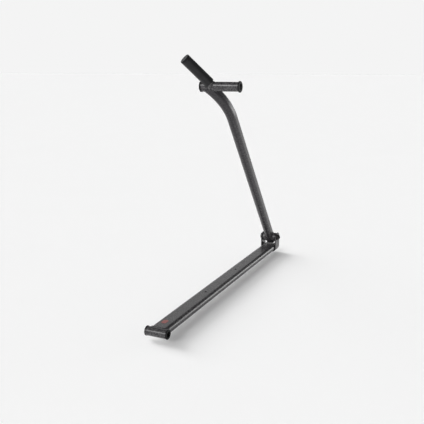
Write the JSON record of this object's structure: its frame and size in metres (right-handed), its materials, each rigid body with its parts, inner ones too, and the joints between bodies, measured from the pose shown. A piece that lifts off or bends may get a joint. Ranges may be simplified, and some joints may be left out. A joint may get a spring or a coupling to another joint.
{
  "type": "bicycle wall rack",
  "caption": "Folding bicycle wall rack with a flat-oval wall rail, a clevis hinge and a bent arm that carries a cross sleeve and a padded hook.",
  "frame": {"origin": "centre of the hinge bracket's wall face, under the pivot axis", "axes": "+Z away from the wall, the rail runs along -Y from the hinge, +X along the pivot axis towards the bolt's domed head"},
  "size_m": [0.1449, 0.8059, 0.6377],
  "materials": {
    "graphite_steel": "satin",
    "black_plastic": "matt",
    "black_rubber": "satin",
    "black_fastener": "satin",
    "red_decal": "gloss"
  },
  "bodies": {
    "rail": {"rail_tube": "graphite_steel", "rail_plug": "black_plastic", "foot_sleeve": "graphite_steel", "foot_weld": "graphite_steel", "foot_bush_left": "black_plastic", "foot_bush_right": "black_plastic", "hinge_bracket": "graphite_steel", "pivot_bolt": "black_fastener", "pivot_washer": "black_fastener", "pivot_nut": "black_fastener", "rail_decal": "red_decal"},
    "arm": {"pivot_barrel": "graphite_steel", "barrel_weld": "graphite_steel", "pivot_bush_left": "black_plastic", "pivot_bush_right": "black_plastic", "arm_tube": "graphite_steel", "arm_plug": "black_plastic", "head_sleeve": "graphite_steel", "head_bush_left": "black_plastic", "head_bush_right": "black_plastic", "hook_tube": "graphite_steel", "hook_grip": "black_rubber", "hook_cap": "black_plastic"}
  },
  "joints": [
    {"name": "arm_fold", "type": "hinge", "parent": "rail", "child": "arm", "pos_m": [0, 0, 0.048], "axis": [1, 0, 0], "range_deg": [-38, 51]}
  ]
}
